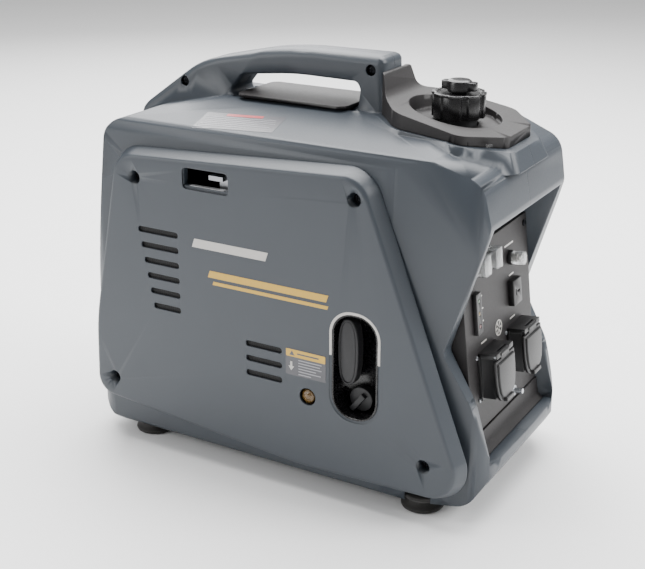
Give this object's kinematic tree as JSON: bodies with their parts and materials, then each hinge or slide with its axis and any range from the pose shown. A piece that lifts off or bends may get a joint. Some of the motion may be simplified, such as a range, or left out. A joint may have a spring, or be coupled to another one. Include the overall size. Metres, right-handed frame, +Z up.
{
  "type": "portable inverter generator",
  "caption": "Suitcase-style petrol inverter generator with carrying handle, recoil starter, filler cap and a front panel of sockets under spring lids.",
  "frame": {"origin": "on the ground under the middle of the case", "axes": "+X to the control panel, -Y to the recoil starter, +Z up"},
  "size_m": [0.5133, 0.28, 0.4709],
  "materials": {
    "amber_bulb": "translucent primer bulb",
    "black_plastic": "matte moulded panel and tray",
    "cast_alloy": "die cast",
    "clear_boot": "clear silicone boot",
    "copper_winding": "lacquered winding on laminations",
    "dark_screw": "black oxide screws",
    "foot_rubber": "moulded rubber",
    "gloss_black": "moulded cap and controls",
    "grip_plastic": "textured grip",
    "iron": "cast and turned iron",
    "muffler_steel": "heat resistant paint",
    "pan_steel": "powder coated sheet",
    "rope_cord": "braided cord",
    "seal_rubber": "soft seal",
    "slate_shell": "semi-matte moulded shell",
    "steel": "zinc plated steel",
    "tank_plastic": "blow moulded tank",
    "white_trim": "painted inlay"
  },
  "bodies": {
    "root": {"ac_socket_left": "gloss_black", "ac_socket_right": "gloss_black", "air_filter": "black_plastic", "alternator_stator": "copper_winding", "base_pan": "pan_steel", "breaker_boot": "clear_boot", "breaker_nut": "gloss_black", "carburettor": "cast_alloy", "case_screws": "dark_screw", "control_panel": "black_plastic", "crankcase": "cast_alloy", "cylinder_block": "iron", "cylinder_head": "cast_alloy", "dc_socket": "gloss_black", "engine_mounts": "seal_rubber", "foot_bolts": "steel", "fuel_tank": "tank_plastic", "ground_terminal": "steel", "ignition_coil": "black_plastic", "inverter_unit": "cast_alloy", "led_strip": "gloss_black", "left_shell": "slate_shell", "lid_pins": "steel", "muffler": "muffler_steel", "panel_scoop": "black_plastic", "panel_screws": "dark_screw", "plug_cap": "seal_rubber", "pocket_liner": "gloss_black", "pocket_trim": "white_trim", "rear_grille": "black_plastic", "recoil_housing": "cast_alloy", "recoil_spring": "steel", "right_shell": "slate_shell", "rocker_boots": "clear_boot", "rocker_frames": "gloss_black", "rubber_feet": "foot_rubber", "service_cover": "slate_shell", "side_cover": "slate_shell", "spark_plug": "steel", "tank_tray": "black_plastic"},
    "cap_seal": {"cap_gasket": "seal_rubber"},
    "cap": {"fuel_cap": "gloss_black"},
    "vent_knob": {"cap_vent_knob": "gloss_black"},
    "pull_grip": {"recoil_grip": "grip_plastic", "starter_rope": "rope_cord"},
    "pulley": {"recoil_pulley": "black_plastic"},
    "crank_train": {"crankshaft": "steel", "alternator_rotor": "iron", "cooling_fan": "black_plastic"},
    "piston_body": {"piston": "cast_alloy"},
    "knob": {"engine_knob": "grip_plastic"},
    "choke": {"choke_lever": "steel"},
    "bulb": {"primer_bulb": "amber_bulb"},
    "eco_switch": {"eco_rocker": "gloss_black"},
    "run_switch": {"run_rocker": "gloss_black"},
    "breaker": {"breaker_button": "white_trim"},
    "lid_left": {"socket_lid_left": "black_plastic"},
    "lid_right": {"socket_lid_right": "black_plastic"},
    "plug_lid": {"plug_access_lid": "black_plastic"},
    "oil_plug": {"oil_cap": "gloss_black"}
  },
  "joints": [
    {"name": "fuel_cap_lift", "type": "slide", "parent": "root", "child": "cap_seal", "axis": [0, 0, 1], "range_m": [0, 0.06]},
    {"name": "fuel_cap_turn", "type": "hinge", "parent": "cap_seal", "child": "cap", "pos_m": [0.16, 0, 0.42], "axis": [0, 0, 1], "range_deg": [0, 120]},
    {"name": "vent_knob_turn", "type": "hinge", "parent": "cap", "child": "vent_knob", "pos_m": [0.16, 0, 0.445], "axis": [0, 0, 1], "range_deg": [0, 90]},
    {"name": "recoil_pull", "type": "slide", "parent": "root", "child": "pull_grip", "axis": [0, -1, 0], "range_m": [0, 0.6], "stiffness_N_per_m": 20, "springref_m": -0.1, "deforming": ["starter_rope"]},
    {"name": "pulley_turn", "type": "hinge", "parent": "root", "child": "pulley", "pos_m": [0.1035, 0, 0.135], "axis": [1, 0, 0], "range_deg": [0, 780]},
    {"name": "crank_turn", "type": "hinge", "parent": "root", "child": "crank_train", "pos_m": [-0.0265, 0, 0.135], "axis": [1, 0, 0], "continuous": true},
    {"name": "piston_stroke", "type": "slide", "parent": "root", "child": "piston_body", "axis": [0, 0, -1], "range_m": [0, 0.036]},
    {"name": "engine_knob_turn", "type": "hinge", "parent": "root", "child": "knob", "pos_m": [0.114, -0.12, 0.123], "axis": [0, -1, 0], "range_deg": [0, 90]},
    {"name": "choke_slide", "type": "slide", "parent": "root", "child": "choke", "axis": [-1, 0, 0], "range_m": [0, 0.026]},
    {"name": "primer_press", "type": "slide", "parent": "root", "child": "bulb", "axis": [0, 1, 0], "range_m": [0, 0.004], "stiffness_N_per_m": 600},
    {"name": "eco_switch_rock", "type": "hinge", "parent": "root", "child": "eco_switch", "pos_m": [0.20969, -0.055, 0.27242], "axis": [0, 1, 0], "range_deg": [-8, 8]},
    {"name": "run_switch_rock", "type": "hinge", "parent": "root", "child": "run_switch", "pos_m": [0.20969, -0.025, 0.27242], "axis": [0, 1, 0], "range_deg": [-8, 8]},
    {"name": "breaker_press", "type": "slide", "parent": "root", "child": "breaker", "axis": [-0.993, 0, -0.1184], "range_m": [0, 0.003], "stiffness_N_per_m": 500},
    {"name": "lid_left_open", "type": "hinge", "parent": "root", "child": "lid_left", "pos_m": [0.24028, -0.04, 0.17637], "axis": [0, -1, 0], "range_deg": [0, 100], "stiffness_Nm_per_rad": 0.02, "springref_deg": -17.19},
    {"name": "lid_right_open", "type": "hinge", "parent": "root", "child": "lid_right", "pos_m": [0.24028, 0.04, 0.17637], "axis": [0, -1, 0], "range_deg": [0, 100], "stiffness_Nm_per_rad": 0.02, "springref_deg": -17.19},
    {"name": "plug_lid_lift", "type": "slide", "parent": "root", "child": "plug_lid", "axis": [0, 0, 1], "range_m": [0, 0.012]},
    {"name": "oil_cap_turn", "type": "hinge", "parent": "root", "child": "oil_plug", "pos_m": [-0.0465, -0.06, 0.097], "axis": [0, -1, 0], "range_deg": [0, 350]}
  ],
  "couplings": [
    {"joint": "pulley_turn", "follows": "recoil_pull", "rad_per_m": 22.222}
  ]
}
